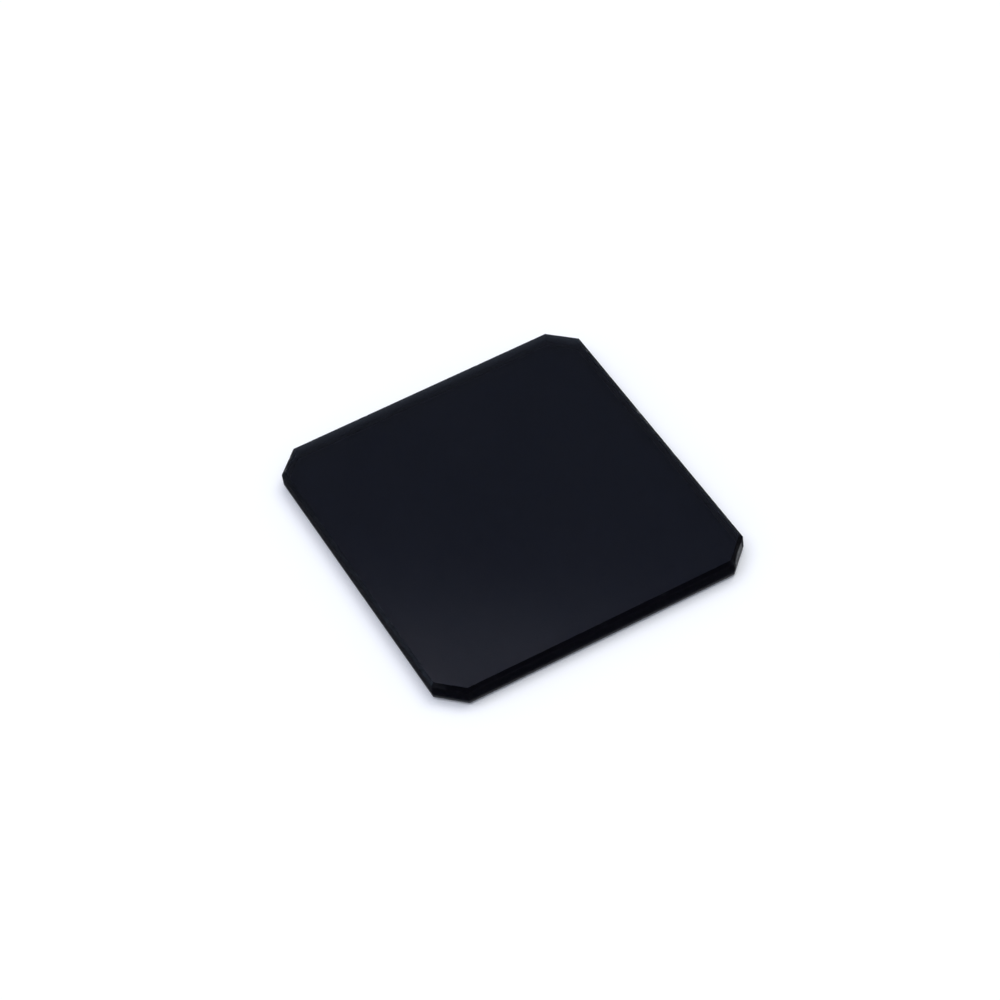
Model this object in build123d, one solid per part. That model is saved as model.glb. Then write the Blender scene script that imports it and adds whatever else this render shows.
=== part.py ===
from build123d import *

import os

# Neutral density filter: one plate of dark optical glass, lying on one of its two polished faces.
# The origin is the middle of the underside. +X runs across the plate, +Y along its longer side,
# and +Z out of the upper face. Sizes are in millimetres.

# Driving dimensions
PLATE_WIDTH = 24.0  # across the plate, between the ground side walls
PLATE_LENGTH = 26.4  # along the plate, between the ground end walls
GLASS_THICKNESS = 1.5  # between the two polished faces
CORNER_CUT = 1.8  # leg of each corner's straight cut, the same along both walls
ARRIS = 0.23  # leg of the fine 45 degree bevel round each polished face


def plate_plan():
    """The outline that the glass is cut to: a rectangle with its four corners cut off straight."""
    rectangle = Rectangle(PLATE_WIDTH, PLATE_LENGTH)
    return chamfer(rectangle.vertices(), CORNER_CUT)


def filter_glass():
    """The plate: a blank of the plan's outline, with an arris ground round both of its faces."""
    blank = extrude(plate_plan(), GLASS_THICKNESS)
    polished_faces = blank.faces().filter_by(Axis.Z)
    return chamfer(polished_faces.edges(), ARRIS)


os.makedirs("parts", exist_ok=True)
export_step(filter_glass(), "parts/filter_glass.step")
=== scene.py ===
import math
import random

import bmesh
import bpy
from mathutils import Matrix, Vector, noise


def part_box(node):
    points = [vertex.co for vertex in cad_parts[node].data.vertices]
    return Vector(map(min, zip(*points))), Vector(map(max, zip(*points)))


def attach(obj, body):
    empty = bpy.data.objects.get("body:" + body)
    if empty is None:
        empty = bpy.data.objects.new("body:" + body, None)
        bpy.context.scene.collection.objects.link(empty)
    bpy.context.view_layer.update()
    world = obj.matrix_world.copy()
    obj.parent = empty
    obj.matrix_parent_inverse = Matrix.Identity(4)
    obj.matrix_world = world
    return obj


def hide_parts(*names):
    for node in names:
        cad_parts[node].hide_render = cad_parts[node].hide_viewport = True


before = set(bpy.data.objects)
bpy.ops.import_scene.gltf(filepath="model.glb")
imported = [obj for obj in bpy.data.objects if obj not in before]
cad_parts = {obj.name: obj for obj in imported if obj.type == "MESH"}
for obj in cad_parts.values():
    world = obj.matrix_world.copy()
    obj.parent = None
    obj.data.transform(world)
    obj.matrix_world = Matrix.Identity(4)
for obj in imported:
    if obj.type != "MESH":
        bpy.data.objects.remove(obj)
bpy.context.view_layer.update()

# The filter: one plate of dyed neutral glass, cut from sheet to a rectangle with its corners taken
# off straight. Both faces are polished and coated, and the walls and the bevel round each face are
# fine ground, which leaves them matt and a little nibbled along their borders.
MM = 0.001
plate_low, plate_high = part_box("filter_glass")
plate_size = plate_high - plate_low
plate_centre = (plate_high + plate_low) / 2
CORNER_CUT = 1.8 * MM
BEVEL_LEG = 0.23 * MM
LEVEL_TOLERANCE = 0.001 * MM


def runs_round(edge):
    """Whether an edge runs round the plate, and not up a wall or a bevel."""
    return abs(edge.verts[0].co.z - edge.verts[1].co.z) < LEVEL_TOLERANCE


def plate_blank():
    """The cut plate with its bevels, every surface still flat and every border straight."""
    blank = bmesh.new()
    bmesh.ops.create_grid(blank, x_segments=1, y_segments=1, size=0.5)
    bmesh.ops.scale(blank, vec=(plate_size.x, plate_size.y, 1), verts=blank.verts)
    bmesh.ops.bevel(
        blank, geom=blank.verts[:], offset=CORNER_CUT, offset_type="OFFSET", affect="VERTICES",
        segments=1, profile=0.5, material=-1,
    )
    bmesh.ops.translate(blank, vec=(plate_centre.x, plate_centre.y, plate_low.z), verts=blank.verts)
    raised = bmesh.ops.extrude_face_region(blank, geom=blank.faces[:])["geom"]
    upper = [part for part in raised if isinstance(part, bmesh.types.BMVert)]
    bmesh.ops.translate(blank, vec=(0, 0, plate_size.z), verts=upper)
    bmesh.ops.recalc_face_normals(blank, faces=blank.faces)
    rims = [edge for edge in blank.edges if runs_round(edge)]
    bmesh.ops.bevel(
        blank, geom=rims, offset=BEVEL_LEG, offset_type="OFFSET", affect="EDGES",
        segments=1, profile=0.5, material=-1,
    )
    return blank


# Each border that runs round the plate is cut into short steps, in line with its neighbours.
BORDER_STEP = 0.1 * MM
plate = plate_blank()
sides = {}
for edge in plate.edges:
    if runs_round(edge):
        outward = (edge.verts[0].co + edge.verts[1].co) / 2 - plate_centre
        along = (edge.verts[1].co - edge.verts[0].co).normalized()
        facing = along.cross(Vector((0, 0, 1)))
        facing *= math.copysign(1, facing.dot(outward))
        sides.setdefault((round(facing.x, 1), round(facing.y, 1)), []).append(edge)
for borders in sides.values():
    longest = max(edge.calc_length() for edge in borders)
    cuts = round(longest / BORDER_STEP) - 1
    bmesh.ops.subdivide_edges(plate, edges=borders, cuts=cuts, use_grid_fill=True)

# Grinding leaves each border wavy by a hair and nibbled by small chips, which only bite inwards.
WAVER_PITCH = 0.35 * MM
WAVER_DEPTH = 0.012 * MM
CHIP_COUNT = 90
CHIP_HALF_WIDTH = (0.05 * MM, 0.16 * MM)
CHIP_DEPTH = (0.01 * MM, 0.035 * MM)
grinding = random.Random(11)
chip_mark = plate.verts.layers.float.new("chipped")
points = list(plate.verts)
chips = [
    (grinding.choice(points).co.copy(), grinding.uniform(*CHIP_HALF_WIDTH), grinding.uniform(*CHIP_DEPTH))
    for _ in range(CHIP_COUNT)
]
plate.normal_update()
bites = []
for point in points:
    depth = WAVER_DEPTH * (0.5 + 0.5 * noise.noise(point.co / WAVER_PITCH))
    for middle, half_width, deepest in chips:
        reach = (point.co - middle).length / half_width
        if reach < 1:
            depth = max(depth, deepest * math.sqrt(1 - reach * reach))
            point[chip_mark] = 1
    height = point.co.z - plate_centre.z
    if abs(height) > plate_size.z / 2 - BEVEL_LEG / 2:
        inward = Vector((-point.normal.x, -point.normal.y, 0)).normalized()
    else:
        inward = Vector((0, 0, -math.copysign(1, height)))
    bites.append(inward * depth)
for point, bite in zip(points, bites):
    point.co += bite

# The glass is one closed body, so its faces are marked as polished or ground, wall or bevel. They are
# told apart by how far their normals point up or down.
POLISHED_ABOVE = 0.95
BEVEL_ABOVE = 0.3
ground_mark = plate.faces.layers.float.new("ground")
bevel_mark = plate.faces.layers.float.new("bevel")
plate.normal_update()
for face in plate.faces:
    upright = abs(face.normal.z)
    face[ground_mark] = 0 if upright > POLISHED_ABOVE else 1
    face[bevel_mark] = 1 if BEVEL_ABOVE < upright <= POLISHED_ABOVE else 0
filter_mesh = bpy.data.meshes.new("filter_plate")
plate.to_mesh(filter_mesh)
plate.free()
filter_plate = bpy.data.objects.new("filter_plate", filter_mesh)
bpy.context.scene.collection.objects.link(filter_plate)


def new_node(owner, kind, **settings):
    """Adds a node to a material or a world and sets the node's own options."""
    node = owner.node_tree.nodes.new(kind)
    for name, value in settings.items():
        setattr(node, name, value)
    return node


def surface_noise(material, pitch, stretch=(1, 1, 1), detail=2):
    """A noise of the given pitch on the piece's own coordinates, as an output from 0 to 1."""
    place = new_node(material, "ShaderNodeTexCoord")
    sizing = new_node(material, "ShaderNodeMapping")
    sizing.inputs["Scale"].default_value = stretch
    speckle = new_node(material, "ShaderNodeTexNoise")
    speckle.inputs["Scale"].default_value = 1 / pitch
    speckle.inputs["Detail"].default_value = detail
    material.node_tree.links.new(place.outputs["Object"], sizing.inputs["Vector"])
    material.node_tree.links.new(sizing.outputs["Vector"], speckle.inputs["Vector"])
    return speckle.outputs["Fac"]


def spread(material, source, low, high):
    """Stretches the middle of a noise over a range of plain values."""
    span = new_node(material, "ShaderNodeMapRange")
    span.inputs["From Min"].default_value = 0.3
    span.inputs["From Max"].default_value = 0.7
    span.inputs["To Min"].default_value = low
    span.inputs["To Max"].default_value = high
    material.node_tree.links.new(source, span.inputs["Value"])
    return span.outputs["Result"]


def by_surface(material, polished, ground):
    """Takes one value on the polished faces and another on the ground ones."""
    choice = new_node(material, "ShaderNodeMix")
    mark = new_node(material, "ShaderNodeAttribute", attribute_name="ground")
    material.node_tree.links.new(mark.outputs["Fac"], choice.inputs["Factor"])
    for socket, source in ((choice.inputs["A"], polished), (choice.inputs["B"], ground)):
        if isinstance(source, bpy.types.NodeSocket):
            material.node_tree.links.new(source, socket)
        else:
            socket.default_value = source
    return choice.outputs["Result"]


PATCH_CORE = 0.7  # the share of a rubbed patch's reach that is rubbed in full


def rubbed_patch(material, middle, reach, flatness):
    """A mask that is 1 round a point of the piece and fades out at its reach, thinner in height."""
    place = new_node(material, "ShaderNodeTexCoord")
    shift = new_node(material, "ShaderNodeVectorMath", operation="SUBTRACT")
    shift.inputs[1].default_value = middle
    stretch = new_node(material, "ShaderNodeVectorMath", operation="MULTIPLY")
    stretch.inputs[1].default_value = (1, 1, flatness)
    span = new_node(material, "ShaderNodeVectorMath", operation="LENGTH")
    fade = new_node(material, "ShaderNodeMapRange")
    fade.inputs["From Min"].default_value = reach
    fade.inputs["From Max"].default_value = PATCH_CORE * reach
    material.node_tree.links.new(place.outputs["Object"], shift.inputs[0])
    material.node_tree.links.new(shift.outputs["Vector"], stretch.inputs[0])
    material.node_tree.links.new(stretch.outputs["Vector"], span.inputs[0])
    material.node_tree.links.new(span.outputs["Value"], fade.inputs["Value"])
    return fade.outputs["Result"]


def worn_border(material, axis, start, full):
    """A mask along one axis of the piece, from 0 at the first place to 1 at the second."""
    place = new_node(material, "ShaderNodeTexCoord")
    parts = new_node(material, "ShaderNodeSeparateXYZ")
    fade = new_node(material, "ShaderNodeMapRange")
    fade.inputs["From Min"].default_value = start
    fade.inputs["From Max"].default_value = full
    material.node_tree.links.new(place.outputs["Object"], parts.inputs["Vector"])
    material.node_tree.links.new(parts.outputs[axis], fade.inputs["Value"])
    return fade.outputs["Result"]


def new_product(material, *factors):
    """Multiplies two values, each of them a number or another node's output."""
    product = new_node(material, "ShaderNodeMath", operation="MULTIPLY")
    for socket, factor in zip(product.inputs, factors):
        if isinstance(factor, bpy.types.NodeSocket):
            material.node_tree.links.new(factor, socket)
        else:
            socket.default_value = factor
    return product.outputs["Value"]


def strongest(material, *sources):
    """The highest of several values at each point."""
    highest = sources[0]
    for source in sources[1:]:
        choice = new_node(material, "ShaderNodeMath", operation="MAXIMUM")
        material.node_tree.links.new(highest, choice.inputs[0])
        material.node_tree.links.new(source, choice.inputs[1])
        highest = choice.outputs["Value"]
    return highest


# Dyed glass: the dye takes most of the light on its way through. The coating on the polished faces
# leaves a weak reflection. The ground surfaces let in very little light. Their bevels have a faint
# sheen, and the gripped corner, the left bevel, the lower border and the chips are rubbed brighter.
SMEAR_PITCH = 3 * MM
GRAIN_PITCH = 0.05 * MM
BLOTCH_PITCH = 0.3 * MM
SCUFF_PITCH = 0.14 * MM
POLISHED_CLARITY = 0.95
GROUND_CLARITY = (0.006, 0.016)
POLISHED_ROUGHNESS = 0.1
GROUND_ROUGHNESS = (0.8, 1)
POLISHED_COAT = (0.2, 0.23)
RUBBED_COAT = (0, 0.6)
FOOT_COAT = (0.6, 1)
CHIP_COAT = 0.4
BEVEL_COAT = 0.045
POLISHED_HEIGHT = 0.5  # the same everywhere, so that the bump leaves a polished face smooth
GRIP_REACH = 1.05 * MM
GRIP_FLATNESS = 1.4
SIDE_WEAR_STARTS, SIDE_WEAR_FULL = 0.8 * MM, 0.2 * MM  # in from the left side
TOP_WEAR_STARTS, TOP_WEAR_FULL = 1.2 * BEVEL_LEG, 0.8 * BEVEL_LEG  # down from the upper face
FOOT_WEAR_STARTS, FOOT_WEAR_FULL = 0.5 * MM, 0.27 * MM  # up from the underside
glass = bpy.data.materials.new("coated_dark_glass")
glass.use_nodes = True
shader = glass.node_tree.nodes["Principled BSDF"]
shader.inputs["Transmission Weight"].default_value = 1
shader.inputs["IOR"].default_value = 1.15
shader.inputs["Specular Tint"].default_value = (0.6, 0.55, 1, 1)
shader.inputs["Coat Roughness"].default_value = 0.09
smear = surface_noise(glass, SMEAR_PITCH, stretch=(1, 0.4, 1))
grain = surface_noise(glass, GRAIN_PITCH)
blotch = surface_noise(glass, BLOTCH_PITCH)
scuff = surface_noise(glass, SCUFF_PITCH, detail=4)
clarity = by_surface(glass, POLISHED_CLARITY, spread(glass, grain, *GROUND_CLARITY))
tone = new_node(glass, "ShaderNodeCombineColor")
for channel in ("Red", "Green", "Blue"):
    glass.node_tree.links.new(clarity, tone.inputs[channel])
glass.node_tree.links.new(tone.outputs["Color"], shader.inputs["Base Color"])
roughness = by_surface(glass, POLISHED_ROUGHNESS, spread(glass, blotch, *GROUND_ROUGHNESS))
glass.node_tree.links.new(roughness, shader.inputs["Roughness"])
gripped = Vector((plate_high.x - CORNER_CUT / 2, plate_low.y + CORNER_CUT / 2, plate_centre.z))
corner_wear = rubbed_patch(glass, gripped, GRIP_REACH, GRIP_FLATNESS)
left_bevel = new_product(
    glass,
    worn_border(glass, "X", plate_low.x + SIDE_WEAR_STARTS, plate_low.x + SIDE_WEAR_FULL),
    worn_border(glass, "Z", plate_high.z - TOP_WEAR_STARTS, plate_high.z - TOP_WEAR_FULL),
)
# The left bevel is rubbed in full at its near end and by a quarter at its far end.
near_end = worn_border(glass, "Y", plate_high.y + plate_size.y / 3, plate_low.y)
side_wear = new_product(glass, left_bevel, near_end)
foot_wear = worn_border(glass, "Z", plate_low.z + FOOT_WEAR_STARTS, plate_low.z + FOOT_WEAR_FULL)
chipped = new_node(glass, "ShaderNodeAttribute", attribute_name="chipped").outputs["Fac"]
bevelled = new_node(glass, "ShaderNodeAttribute", attribute_name="bevel").outputs["Fac"]
shine = strongest(
    glass,
    new_product(glass, corner_wear, spread(glass, scuff, *RUBBED_COAT)),
    new_product(glass, side_wear, spread(glass, scuff, *RUBBED_COAT)),
    new_product(glass, foot_wear, spread(glass, scuff, *FOOT_COAT)),
    new_product(glass, new_product(glass, chipped, bevelled), CHIP_COAT),
    new_product(glass, bevelled, BEVEL_COAT),
)
coating = by_surface(glass, spread(glass, smear, *POLISHED_COAT), shine)
glass.node_tree.links.new(coating, shader.inputs["Coat Weight"])
pits = new_node(glass, "ShaderNodeBump")
pits.inputs["Distance"].default_value = 0.01 * MM
pits.inputs["Strength"].default_value = 0.4
glass.node_tree.links.new(by_surface(glass, POLISHED_HEIGHT, grain), pits.inputs["Height"])
glass.node_tree.links.new(pits.outputs["Normal"], shader.inputs["Normal"])
dye = new_node(glass, "ShaderNodeVolumeAbsorption")
dye.inputs["Color"].default_value = (0, 0.1, 0.25, 1)
dye.inputs["Density"].default_value = 2000
output = glass.node_tree.nodes["Material Output"]
glass.node_tree.links.new(dye.outputs["Volume"], output.inputs["Volume"])
filter_mesh.materials.append(glass)

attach(filter_plate, "root")
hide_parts("filter_glass")

# The floor: a wide sheet of matt white paper that the plate lies on. It is a hair below the plate,
# so that the two surfaces never share a plane, and it reaches far past the picture.
FLOOR_REACH = 1.5
FLOOR_GAP = 0.01 * MM
floor_mesh = bpy.data.meshes.new("floor")
sheet = bmesh.new()
bmesh.ops.create_grid(sheet, x_segments=1, y_segments=1, size=FLOOR_REACH)
bmesh.ops.translate(sheet, vec=(0, 0, plate_low.z - FLOOR_GAP), verts=sheet.verts)
sheet.to_mesh(floor_mesh)
sheet.free()
floor = bpy.data.objects.new("floor", floor_mesh)
bpy.context.scene.collection.objects.link(floor)
paper = bpy.data.materials.new("white_paper")
paper.use_nodes = True
shader = paper.node_tree.nodes["Principled BSDF"]
shader.inputs["Base Color"].default_value = (0.97, 0.97, 0.97, 1)
shader.inputs["Roughness"].default_value = 0.9
shader.inputs["Specular IOR Level"].default_value = 0
# A very faint glow that only the camera sees lifts the paper's tone a little.
sight = new_node(paper, "ShaderNodeLightPath")
glow = new_node(paper, "ShaderNodeMath", operation="MULTIPLY")
glow.inputs[1].default_value = 0.01
paper.node_tree.links.new(sight.outputs["Is Camera Ray"], glow.inputs[0])
paper.node_tree.links.new(glow.outputs["Value"], shader.inputs["Emission Strength"])
floor_mesh.materials.append(paper)

# The room: a pale cloth tent that is white near the floor and a dimmer blue grey above. The camera
# and the glass see plain white behind the plate.
room = bpy.data.worlds.new("studio")
bpy.context.scene.world = room
room.use_nodes = True
backdrop = room.node_tree.nodes["Background"]
heading = new_node(room, "ShaderNodeTexCoord")
heading_parts = new_node(room, "ShaderNodeSeparateXYZ")
room.node_tree.links.new(heading.outputs["Generated"], heading_parts.inputs["Vector"])
rise = new_node(room, "ShaderNodeMapRange", interpolation_type="SMOOTHSTEP")
rise.inputs["From Min"].default_value = 0.05
rise.inputs["From Max"].default_value = 0.3
room.node_tree.links.new(heading_parts.outputs["Z"], rise.inputs["Value"])
tent = new_node(room, "ShaderNodeMix", data_type="RGBA")
tent.inputs["A"].default_value = (1, 1, 1, 1)
tent.inputs["B"].default_value = (0.45, 0.49, 0.585, 1)
room.node_tree.links.new(rise.outputs["Result"], tent.inputs["Factor"])
sight = new_node(room, "ShaderNodeLightPath")
seen = new_node(room, "ShaderNodeMath", operation="MAXIMUM")
room.node_tree.links.new(sight.outputs["Is Camera Ray"], seen.inputs[0])
room.node_tree.links.new(sight.outputs["Is Transmission Ray"], seen.inputs[1])
white = new_node(room, "ShaderNodeMix", data_type="RGBA")
white.inputs["B"].default_value = (1, 1, 1, 1)
room.node_tree.links.new(seen.outputs["Value"], white.inputs["Factor"])
room.node_tree.links.new(tent.outputs["Result"], white.inputs["A"])
room.node_tree.links.new(white.outputs["Result"], backdrop.inputs["Color"])


# Three softboxes far off: a broad one overhead that leans to the back left and fades out across the
# front of the polished face, a low blue one at the back left and a smaller warm one high on the right.
def softbox(name, turn, elevation, half_width, level, colour):
    """Hangs a round soft light, turned from +Y towards +X. Level 1 overhead lights white paper white."""
    lamp = bpy.data.lights.new(name, "SUN")
    lamp.angle = 2 * math.radians(half_width)
    lamp.energy = level * math.pi
    lamp.color = colour
    hung = bpy.data.objects.new(name, lamp)
    bpy.context.scene.collection.objects.link(hung)
    turn, elevation = math.radians(turn), math.radians(elevation)
    towards = Vector((
        math.sin(turn) * math.cos(elevation), math.cos(turn) * math.cos(elevation), math.sin(elevation),
    ))
    hung.rotation_euler = (-towards).to_track_quat("-Z", "Y").to_euler()


softbox("softbox_overhead", -45, 82, 37.9, 0.412, (0.98, 0.972, 1.02))
softbox("softbox_left", -50, 15, 14, 0.035, (0.3, 0.55, 1))
softbox("softbox_right", 76, 60, 19, 0.205, (0.98, 0.98, 0.86))

# The camera: it stands high in front of the plate, a little to its left, turned on its own axis so
# that the plate lies aslant. The long lens keeps the sides of the plate almost parallel.
camera = bpy.data.cameras.new("camera")
camera_object = bpy.data.objects.new("camera", camera)
bpy.context.scene.collection.objects.link(camera_object)
bpy.context.scene.camera = camera_object
camera.lens = 122.49
azimuth, elevation, roll = math.radians(-22.108), math.radians(47.385), math.radians(-8.5185)
distance = 0.23572
slide_right, slide_up = -0.0007, 0.001206
back = Vector((
    math.sin(azimuth) * math.cos(elevation), -math.cos(azimuth) * math.cos(elevation), math.sin(elevation),
))
right = Vector((math.cos(azimuth), math.sin(azimuth), 0))
up = back.cross(right)
right, up = math.cos(roll) * right + math.sin(roll) * up, math.cos(roll) * up - math.sin(roll) * right
location = back * distance + slide_right * right + slide_up * up
camera_object.matrix_world = Matrix((
    (right.x, up.x, back.x, location.x),
    (right.y, up.y, back.y, location.y),
    (right.z, up.z, back.z, location.z),
    (0, 0, 0, 1),
))
camera.clip_start = 0.01
camera.clip_end = 10

bpy.context.scene.view_settings.view_transform = "Standard"
